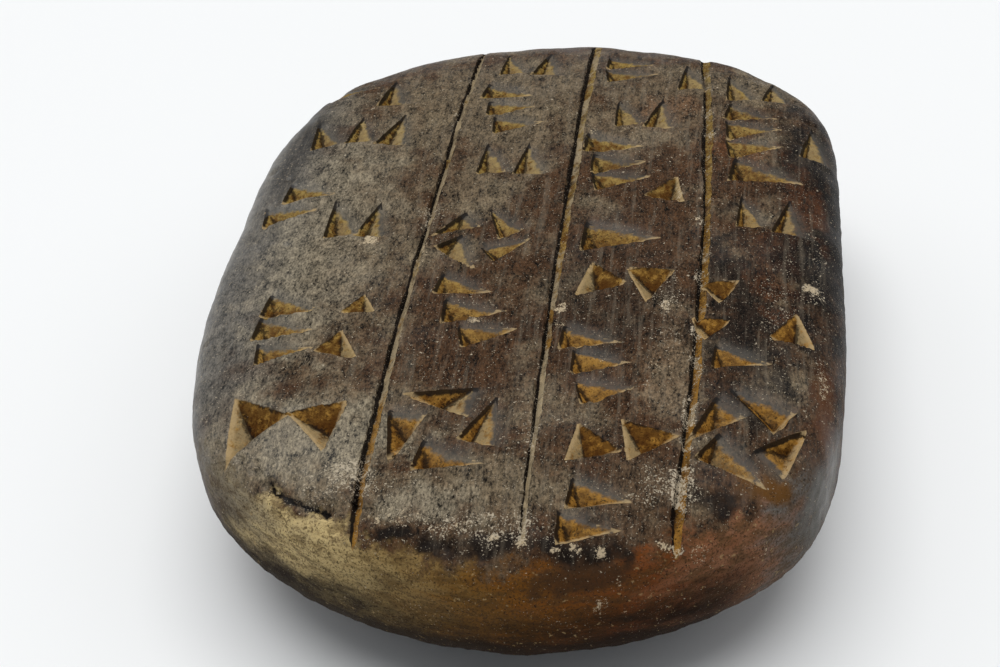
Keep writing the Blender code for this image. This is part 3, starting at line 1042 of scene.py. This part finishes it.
class Finish:
    """The node tree of the clay's finish, with short ways to add to it and what its layers share."""

    def __init__(self, tree, colours):
        self.tree = tree
        self.colours = colours
        self.vector = place(tree, "ShaderNodeTexCoord").outputs["Object"]
        axes = place(tree, "ShaderNodeSeparateXYZ", Vector=self.vector)
        self.x = axes.outputs["X"]
        self.y = axes.outputs["Y"]
        self.z = axes.outputs["Z"]
        self.patch_group = soft_patch_group()
        self.grain_group = grains_group()
        self.wobble = self.math("SUBTRACT", self.noise(1300.0, 4.0, 0.65), 0.5)
        self.lime_cloud = self.noise(330.0, 5.0, 0.65)

    def math(self, operation, first, second=0.0, third=0.0, clamp=False):
        return math_node(self.tree, operation, first, second, third, clamp)

    def times(self, first, *others):
        """Masks or numbers, multiplied."""
        for other in others:
            first = self.math("MULTIPLY", first, other)
        return first

    def scaled_onto(self, value, factor, base, clamp=False):
        """A base, with this value times a factor added to it."""
        return self.math("MULTIPLY_ADD", value, factor, base, clamp)

    def inverse(self, value):
        return self.math("SUBTRACT", 1.0, value)

    def highest(self, first, *others):
        for other in others:
            first = self.math("MAXIMUM", first, other)
        return first

    def lowest(self, first, *others):
        for other in others:
            first = self.math("MINIMUM", first, other)
        return first

    def ramp(self, value, low, high):
        return ramp(self.tree, value, low, high)

    def place_scaled(self, *factors):
        """The place on the surface, its three parts each times a factor."""
        return place(self.tree, "ShaderNodeVectorMath", {"operation": "MULTIPLY"},
                     input_0=self.vector, input_1=factors).outputs[0]

    def noise(self, scale, detail=3.0, rough=0.55, vector=None):
        vector = self.vector if vector is None else vector
        return noise_texture(self.tree, vector, scale, detail, rough)

    def grain(self, scale, density, vector=None):
        vector = self.vector if vector is None else vector
        return use_group(self.tree, self.grain_group, "Mask", Vector=vector, Scale=scale, Density=density)

    def patch(self, centre, reach, ragged, core=0.35):
        """Mask of one ragged patch, its centre and reach in millimetres."""
        return use_group(
            self.tree, self.patch_group, "Mask", Vector=self.vector, Centre=[c * MM for c in centre],
            Reach=[c * MM for c in reach], Ragged=ragged, Core=core)

    def attribute(self, name):
        settings = {"attribute_name": name, "attribute_type": "GEOMETRY"}
        return place(self.tree, "ShaderNodeAttribute", settings).outputs["Fac"]

    def paint(self, base, colour, mask, strength=1.0):
        """A colour laid over the base where the mask is 1."""
        if strength != 1.0:
            mask = self.times(mask, strength)
        return blend_colours(self.tree, mask, base, colour)

    def stain(self, base, patches):
        """Lays a row of named patches over the base."""
        for name, centre, reach, ragged, strength in patches:
            mask = self.patch(centre, reach, ragged * 2)
            base = self.paint(base, getattr(self.colours, name), mask, strength)
        return base

    def patina(self):
        """Colour of the handled surface away from the near end."""
        cloud = self.noise(110.0, 6.0, 0.65)
        shade = self.paint(self.colours.patina, self.colours.umber, self.ramp(cloud, 0.46, 0.74))
        shade = self.stain(shade, PATCHES)
        stretched = self.place_scaled(1.0, 0.5, 1.0)
        middle = self.noise(900.0, 4.0, 0.7, stretched)
        fine = self.noise(3600.0, 3.0, 0.75, stretched)
        fine = self.scaled_onto(middle, 0.8, self.times(fine, 0.7))
        mottled = place(self.tree, "ShaderNodeMapRange", Value=fine, From_Min=0.53, From_Max=0.98,
                        To_Min=0.0, To_Max=2.5).outputs["Result"]
        grey = place(self.tree, "ShaderNodeCombineColor", Red=mottled, Green=mottled, Blue=mottled)
        return blend_colours(self.tree, 1.0, shade, grey.outputs[0], "MULTIPLY")

    def near_wall(self):
        """Sandy at the left, olive brown in the middle, red-brown at the right, with a grey of painted sheen
        at the right end and painted shade darkening the foot.
        """
        streaked = self.place_scaled(0.45, 0.6, 1.3)
        cloud = self.noise(190.0, 6.0, 0.7, streaked)
        drift = self.scaled_onto(cloud, 0.030, -0.015)
        bands = self.tree.nodes.new("ShaderNodeValToRGB")
        across = self.ramp(self.math("ADD", self.x, drift), -0.040, 0.040)
        self.tree.links.new(across, bands.inputs["Fac"])
        stops = (
            (0.04, (0.240, 0.200, 0.135)),
            (0.16, tuple(self.colours.khaki)),
            (0.33, (0.280, 0.190, 0.074)),
            (0.48, (0.170, 0.084, 0.018)),
            (0.62, (0.172, 0.064, 0.007)),
            (0.80, (0.155, 0.044, 0.009)),
            (0.93, (0.235, 0.108, 0.056)),
            # The grey at the right end is painted sheen, the look of reflected light on that corner
            (0.985, (0.125, 0.118, 0.108)),
        )
        elements = bands.color_ramp.elements
        for element, (position, shade) in ((elements[0], stops[0]), (elements[1], stops[-1])):
            element.position = position
            element.color = (*shade, 1)
        for position, shade in stops[1:-1]:
            elements.new(position).color = (*shade, 1)
        shade = bands.outputs["Color"]

        blotch = self.ramp(self.noise(620.0, 6.0, 0.75, streaked), 0.44, 0.60)
        shade = self.paint(shade, WALL_BLOTCH, blotch, 0.62)
        shade = self.paint(shade, WALL_DARK_GRAIN, self.grain(3700.0, 0.70), 0.60)
        # Painted shade: the foot of the wall darkened as if in the shadow where it meets the floor
        level = self.scaled_onto(drift, 0.6, self.z)
        low = self.times(self.ramp(level, 0.0225, 0.0130), 0.96, self.ramp(self.x, 0.033, 0.024))
        shade = self.paint(shade, WALL_FOOT_SHADE, low)
        moved_place = place(self.tree, "ShaderNodeVectorMath", {"operation": "ADD"},
                            input_0=self.vector, input_1=(0.3, 0.1, 0.2)).outputs[0]
        return self.paint(shade, WALL_PALE_GRAIN, self.grain(1500.0, 0.33, moved_place), 0.55)

    def bare_clay(self):
        """Gold at the far end and orange at the near one, mottled, with dark grains in the deep places."""
        deep = self.attribute("depth")
        nearness = self.scaled_onto(self.x, -0.6, self.y)
        gold = self.paint(self.colours.ochre, self.colours.gold, self.ramp(nearness, -0.040, 0.020))
        mixed = self.scaled_onto(deep, 0.16, self.noise(900.0, 5.0, 0.75))
        shade = self.paint(gold, self.colours.sienna, self.ramp(mixed, 0.46, 0.74))
        dark = self.grain(3800.0, self.scaled_onto(deep, 0.22, 0.42))
        return self.paint(shade, DEEP_GRAIN, dark, 0.85)

    def wall_share(self):
        """1 on the near wall and 0 above its ragged crest."""
        edge = self.scaled_onto(self.noise(330.0, 5.0, 0.65), 0.008, -0.004)
        level = self.math("ADD", self.z, edge)
        nearness = self.scaled_onto(edge, 2.0, self.y)
        return self.times(self.ramp(level, 0.0258, 0.0240), self.ramp(nearness, -0.032, -0.042))

    def scratches(self, base, lines):
        """Fine pale lines along the face."""
        on_face = self.ramp(self.z, 0.024, 0.027)
        return self.paint(base, SCRATCHED, self.times(self.ramp(lines, 0.50, 0.72), on_face, 0.30))

    def ruled_strip(self, skin, clay):
        """Colour in a ruled line: dark at its steep left side, pale at the left lines, gold at the right."""
        leftness = self.times(self.ramp(self.x, 0.012, -0.004), 0.22, self.ramp(self.y, -0.036, -0.022))
        second = self.times(self.ramp(self.x, 0.000, 0.003), self.ramp(self.x, 0.012, 0.009))
        second = self.times(second, self.ramp(self.y, -0.018, -0.028))
        leftness = self.scaled_onto(second, 0.26, leftness)
        limed = self.ramp(self.math("ADD", self.lime_cloud, leftness), 0.52, 0.66)
        strip = self.paint(clay, LIMED_LINE, limed)
        bits = self.ramp(self.noise(520.0, 5.0, 0.7), 0.36, 0.52)
        kept = self.scaled_onto(second, 0.30, self.scaled_onto(bits, 0.65, 0.25), clamp=True)
        strip = self.paint(skin, strip, kept)
        across = self.scaled_onto(self.wobble, 0.4, self.attribute("groove_side"))
        return self.paint(strip, self.colours.soot_and_shade, self.ramp(across, -0.18, -0.40))

    def strokes(self, base, skin, clay):
        """Lays the strokes: a black line of painted shadow at the steep side, grainy clay, a soft side
        painted paler where it faces the light, a painted lit near edge.

        Gives the new base, where the strokes are, and where they are still bare clay.
        """
        dark_share = self.attribute("stroke_dark")
        near_share = self.attribute("stroke_near")
        soft_share = self.attribute("stroke_soft")
        hooked = self.attribute("hooked")
        least = self.lowest(dark_share, near_share, soft_share)
        inside = self.ramp(self.scaled_onto(self.wobble, 0.10, least), 0.0, 0.05)
        smooth = self.paint(skin, SMOOTHED_AND_SHEEN, 0.55)

        # The soft side, painted paler where it faces the light, and painted shade on the shaded side of a
        # hook
        ahead = self.math("SUBTRACT", self.lowest(near_share, dark_share), soft_share)
        paler = self.scaled_onto(self.attribute("stroke_lit_share"), 0.75, 0.10)
        pale_bits = self.ramp(self.noise(700.0, 4.0, 0.7), 0.30, 0.52)
        on_soft = self.times(self.ramp(ahead, -0.04, 0.06), paler, pale_bits)
        stroke = self.paint(clay, self.colours.lit_straw, on_soft)
        ahead = self.math("SUBTRACT", self.lowest(near_share, soft_share), dark_share)
        shaded_bits = self.ramp(self.noise(800.0, 4.0, 0.7), 0.38, 0.56)
        stroke = self.paint(
            stroke, HOOK_SHADE, self.times(self.ramp(ahead, -0.04, 0.06), hooked, 0.75, shaded_bits))

        # Near-black along the valley between them
        valley = self.math("ABSOLUTE", self.math("SUBTRACT", dark_share, soft_share))
        valley = self.ramp(self.scaled_onto(self.wobble, 1.4, valley), 0.34, 0.05)
        stroke = self.paint(
            stroke, self.colours.soot_and_shade, self.times(valley, self.ramp(least, 0.10, 0.40)), 0.80)

        # The soft side worn smooth at its rim, painted greyer partly for its sheen
        soft = self.scaled_onto(self.wobble, 0.5, soft_share)
        soft = self.scaled_onto(self.noise(190.0, 2.0), 0.7, self.math("SUBTRACT", soft, 0.38))
        worn = self.ramp(self.math("ADD", soft, hooked), 0.30, 0.10)
        stroke = self.paint(stroke, smooth, worn)

        # The black line of painted shadow at the steep side, and the painted lit edges
        line = self.scaled_onto(hooked, 0.24, dark_share)
        line = self.ramp(self.scaled_onto(self.wobble, 0.45, line), 0.38, 0.24)
        stroke = self.paint(stroke, self.colours.soot_and_shade, line, 0.94)
        lit = self.ramp(self.math("ABSOLUTE", near_share), 1.1, 0.5)
        soft_rim = self.times(self.ramp(self.math("ABSOLUTE", soft_share), 0.30, 0.12), hooked)
        lit = self.times(self.highest(lit, soft_rim), self.ramp(self.wobble, -0.16, 0.02))
        stroke = self.paint(stroke, LIT_EDGE, lit, 0.75)

        # The flank beside a long stroke is painted greyer, partly for its sheen
        base = self.paint(base, smooth, self.ramp(self.attribute("flank"), 0.10, 0.80), 0.62)
        return self.paint(base, stroke, inside), inside, self.times(inside, self.inverse(worn))

    def grain_density(self, groove, crust, outside, on_wall):
        """How crowded the pale grains are."""
        masks = [self.times(self.patch(centre, reach, 1.6, 0.1), much) for centre, reach, much in GRAINY]
        beside = self.times(self.ramp(groove, -1.0, -0.1), self.ramp(self.lime_cloud, 0.44, 0.56))
        rightness = self.scaled_onto(self.ramp(self.x, 0.008, 0.014), 0.65, 0.35)
        density = self.scaled_onto(self.times(beside, rightness), 0.60, self.highest(*masks))
        density = self.scaled_onto(crust, 0.30, density)
        density = self.lowest(self.highest(density, 0.36), 0.85)
        return self.times(density, self.scaled_onto(on_wall, -0.35, outside))

    def lime(self, crust):
        """Where the crust is solid, crumbled at its rim."""
        crumbled = self.scaled_onto(self.noise(3600.0, 3.0, 0.7), 2.4, -1.2)
        crumbled = self.math("ADD", crumbled, self.times(self.wobble, 1.6))
        return self.ramp(self.math("ADD", crumbled, crust), 0.72, 0.98)

    def polish(self):
        """How much the surface shines: most at the handled left side and round the rim."""
        shine = self.times(self.ramp(self.noise(95.0, 5.0, 0.65), 0.45, 0.75), 0.35)
        for centre, reach, strength in POLISHED:
            shine = self.scaled_onto(self.patch(centre, reach, 0.8, 0.2), strength, shine)
        return self.lowest(shine, 1.0)

    def roughness(self, dull, on_wall):
        wear = self.noise(75.0, 5.0, 0.65)
        rough = place(self.tree, "ShaderNodeMapRange", Value=wear, From_Min=0.3, From_Max=0.7,
                      To_Min=0.40, To_Max=0.58).outputs["Result"]
        rough = self.scaled_onto(dull, 0.35, rough, clamp=True)
        return self.scaled_onto(on_wall, 0.20, rough, clamp=True)

    def bump(self, lines, pale):
        """Fine relief of grit, tool lines, grains and pores."""
        height = self.scaled_onto(lines, 0.5, self.noise(2200.0, 5.0, 0.7))
        height = self.scaled_onto(pale, 0.5, height)
        height = self.scaled_onto(self.grain(1500.0, 0.35), -0.6, height)
        node = place(self.tree, "ShaderNodeBump", Strength=0.7, Distance=BUMP_HEIGHT, Height=height)
        return node.outputs["Normal"]


class TABLET_OT_finish_clay(bpy.types.Operator):
    """Gives the clay its patina, bare strokes, crust and grit"""

    bl_idname = "tablet.finish_clay"
    bl_label = "Finish the clay"

    def execute(self, context):
        material = bpy.data.materials.new("fired_clay_finish")
        material.use_nodes = True
        tree = material.node_tree
        finish = Finish(tree, context.scene.tablet_colours)
        soot_and_shade = finish.colours.soot_and_shade

        # Patina, with the near wall's own colours below the crest
        skin = finish.patina()
        on_wall = finish.wall_share()
        base = finish.paint(skin, finish.near_wall(), on_wall)
        base = finish.stain(base, CREST_PATCHES)
        lines = use_group(tree, striations_group(), "Value", Vector=finish.vector, Scale=1.0)
        base = finish.scratches(base, lines)

        # Ruled lines, wedge strokes and the crease
        clay = finish.bare_clay()
        groove = finish.scaled_onto(finish.wobble, 0.6, finish.attribute("groove"))
        in_groove = finish.ramp(groove, 0.02, 0.16)
        base = finish.paint(base, finish.ruled_strip(skin, clay), in_groove, 0.95)
        base, inside, bare = finish.strokes(base, skin, clay)
        crease = finish.scaled_onto(finish.wobble, 1.6, finish.attribute("crease"))
        base = finish.paint(base, soot_and_shade, finish.ramp(crease, 0.42, 0.14))

        # Dark specks, pale grains that are partly painted glints, and crust
        crust = finish.attribute("crust")
        outside = finish.inverse(finish.times(inside, 0.85))
        density = finish.grain_density(groove, crust, outside, on_wall)
        base = finish.paint(base, soot_and_shade, finish.grain(2900.0, finish.times(outside, 0.42)), 0.75)
        flakes = finish.grain(2100.0, finish.math("SUBTRACT", density, 0.08))
        pale = finish.highest(finish.grain(4600.0, density), flakes)
        base = finish.paint(base, PALE_GRAIN_AND_GLINT, pale, 0.80)
        solid = finish.lime(crust)
        base = finish.paint(base, finish.colours.lime, solid, 0.80)

        # Gloss: what is bare, grainy or crusted is dull, and so is the near wall
        dull = finish.highest(bare, pale, in_groove, solid)
        polish = finish.scaled_onto(finish.attribute("flank"), 0.2, finish.polish(), clamp=True)
        polish = finish.times(polish, finish.inverse(dull), finish.inverse(on_wall))
        shader = tree.nodes["Principled BSDF"]
        shader.inputs["Specular IOR Level"].default_value = SPECULAR_LEVEL
        shader.inputs["Coat Roughness"].default_value = SHEEN_ROUGHNESS
        tree.links.new(base, shader.inputs["Base Color"])
        tree.links.new(finish.roughness(dull, on_wall), shader.inputs["Roughness"])
        tree.links.new(finish.bump(lines, pale), shader.inputs["Normal"])
        tree.links.new(polish, shader.inputs["Coat Weight"])

        data = tablet_object().data
        data.materials.clear()
        data.materials.append(material)
        return {"FINISHED"}


# The soft lights: name, where the light comes from, strength and spread
LIGHTS = (
    ("overhead_sky", (-0.03, 0.10, 1.0), 2.2, math.radians(55)),
    ("left_screen", (-0.85, 0.35, 0.85), 0.40, math.radians(50)),
    ("right_screen", (0.85, 0.25, 0.85), 0.38, math.radians(50)),
)
LIGHT_COLOUR = (1.0, 0.995, 0.98)
SKY_COLOUR = (0.92, 0.96, 1.0, 1)
SKY_STRENGTH = 0.26
FLOOR_HALF_SIDE = 1.5


class TABLET_OT_lay_stage(bpy.types.Operator):
    """Lays the pale floor and sets the soft lights and the camera"""

    bl_idname = "tablet.lay_stage"
    bl_label = "Lay the stage"

    def floor(self, context, settings):
        mesh = bmesh.new()
        bmesh.ops.create_grid(mesh, x_segments=4, y_segments=4, size=FLOOR_HALF_SIDE)
        bmesh.ops.translate(mesh, verts=mesh.verts, vec=(0, 0, LOW.z))
        data = bpy.data.meshes.new("floor")
        mesh.to_mesh(data)
        mesh.free()
        material = bpy.data.materials.new("pale_floor")
        material.use_nodes = True
        shader = material.node_tree.nodes["Principled BSDF"]
        shader.inputs["Base Color"].default_value = (*settings.floor, 1)
        shader.inputs["Roughness"].default_value = 0.7
        data.materials.append(material)
        obj = bpy.data.objects.new("floor", data)
        context.scene.collection.objects.link(obj)

    def sky(self, context, name, towards, strength, spread):
        """Even light from one side of the sky, soft as through a large diffuser."""
        light = bpy.data.lights.new(name, "SUN")
        light.energy = strength
        light.angle = spread
        light.color = LIGHT_COLOUR
        obj = bpy.data.objects.new(name, light)
        obj.rotation_euler = Vector(towards).to_track_quat("Z", "Y").to_euler()
        context.scene.collection.objects.link(obj)

    def camera(self, context, settings):
        camera = bpy.data.cameras.new("camera")
        camera.lens = settings.lens
        camera.sensor_width = 36.0
        camera.clip_start = 0.01
        obj = bpy.data.objects.new("camera", camera)
        aim = Vector(settings.camera_aim) - Vector(settings.camera_place)
        turn = aim.to_track_quat("-Z", "Y") @ Quaternion((0, 0, 1), settings.camera_roll)
        obj.location = settings.camera_place
        obj.rotation_mode = "QUATERNION"
        obj.rotation_quaternion = turn
        context.scene.collection.objects.link(obj)
        context.scene.camera = obj

    def execute(self, context):
        settings = context.scene.tablet_stage
        self.floor(context, settings)
        for light in LIGHTS:
            self.sky(context, *light)
        self.camera(context, settings)
        world = bpy.data.worlds.new("studio")
        world.use_nodes = True
        background = world.node_tree.nodes["Background"]
        background.inputs["Color"].default_value = SKY_COLOUR
        background.inputs["Strength"].default_value = SKY_STRENGTH
        context.scene.world = world
        context.scene.view_settings.view_transform = "Standard"
        return {"FINISHED"}


class TABLET_PT_sidebar(bpy.types.Panel):
    """Lists the steps that build the tablet"""

    bl_idname = "TABLET_PT_sidebar"
    bl_label = "Clay Tablet"
    bl_space_type = "VIEW_3D"
    bl_region_type = "UI"
    bl_category = "Tablet"

    def draw(self, context):
        for step in STEPS:
            self.layout.operator(step.bl_idname)


SETTINGS = {
    "tablet_body": ClayBodySettings,
    "tablet_carving": CarvingSettings,
    "tablet_wear": WearSettings,
    "tablet_colours": ClayColourSettings,
    "tablet_stage": StageSettings,
}
STEPS = (
    TABLET_OT_shape_body,
    TABLET_OT_press_carving,
    TABLET_OT_weather,
    TABLET_OT_finish_clay,
    TABLET_OT_lay_stage,
)


def register():
    for name, group in SETTINGS.items():
        bpy.utils.register_class(group)
        setattr(bpy.types.Scene, name, PointerProperty(type=group))
    for cls in (*STEPS, TABLET_PT_sidebar):
        bpy.utils.register_class(cls)


def unregister():
    for cls in (TABLET_PT_sidebar, *reversed(STEPS)):
        bpy.utils.unregister_class(cls)
    for name, group in reversed(SETTINGS.items()):
        delattr(bpy.types.Scene, name)
        bpy.utils.unregister_class(group)


def main():
    register()
    bpy.ops.tablet.shape_body()
    bpy.ops.tablet.press_carving()
    bpy.ops.tablet.weather()
    bpy.ops.tablet.finish_clay()
    bpy.ops.tablet.lay_stage()


if __name__ == "__main__":
    main()
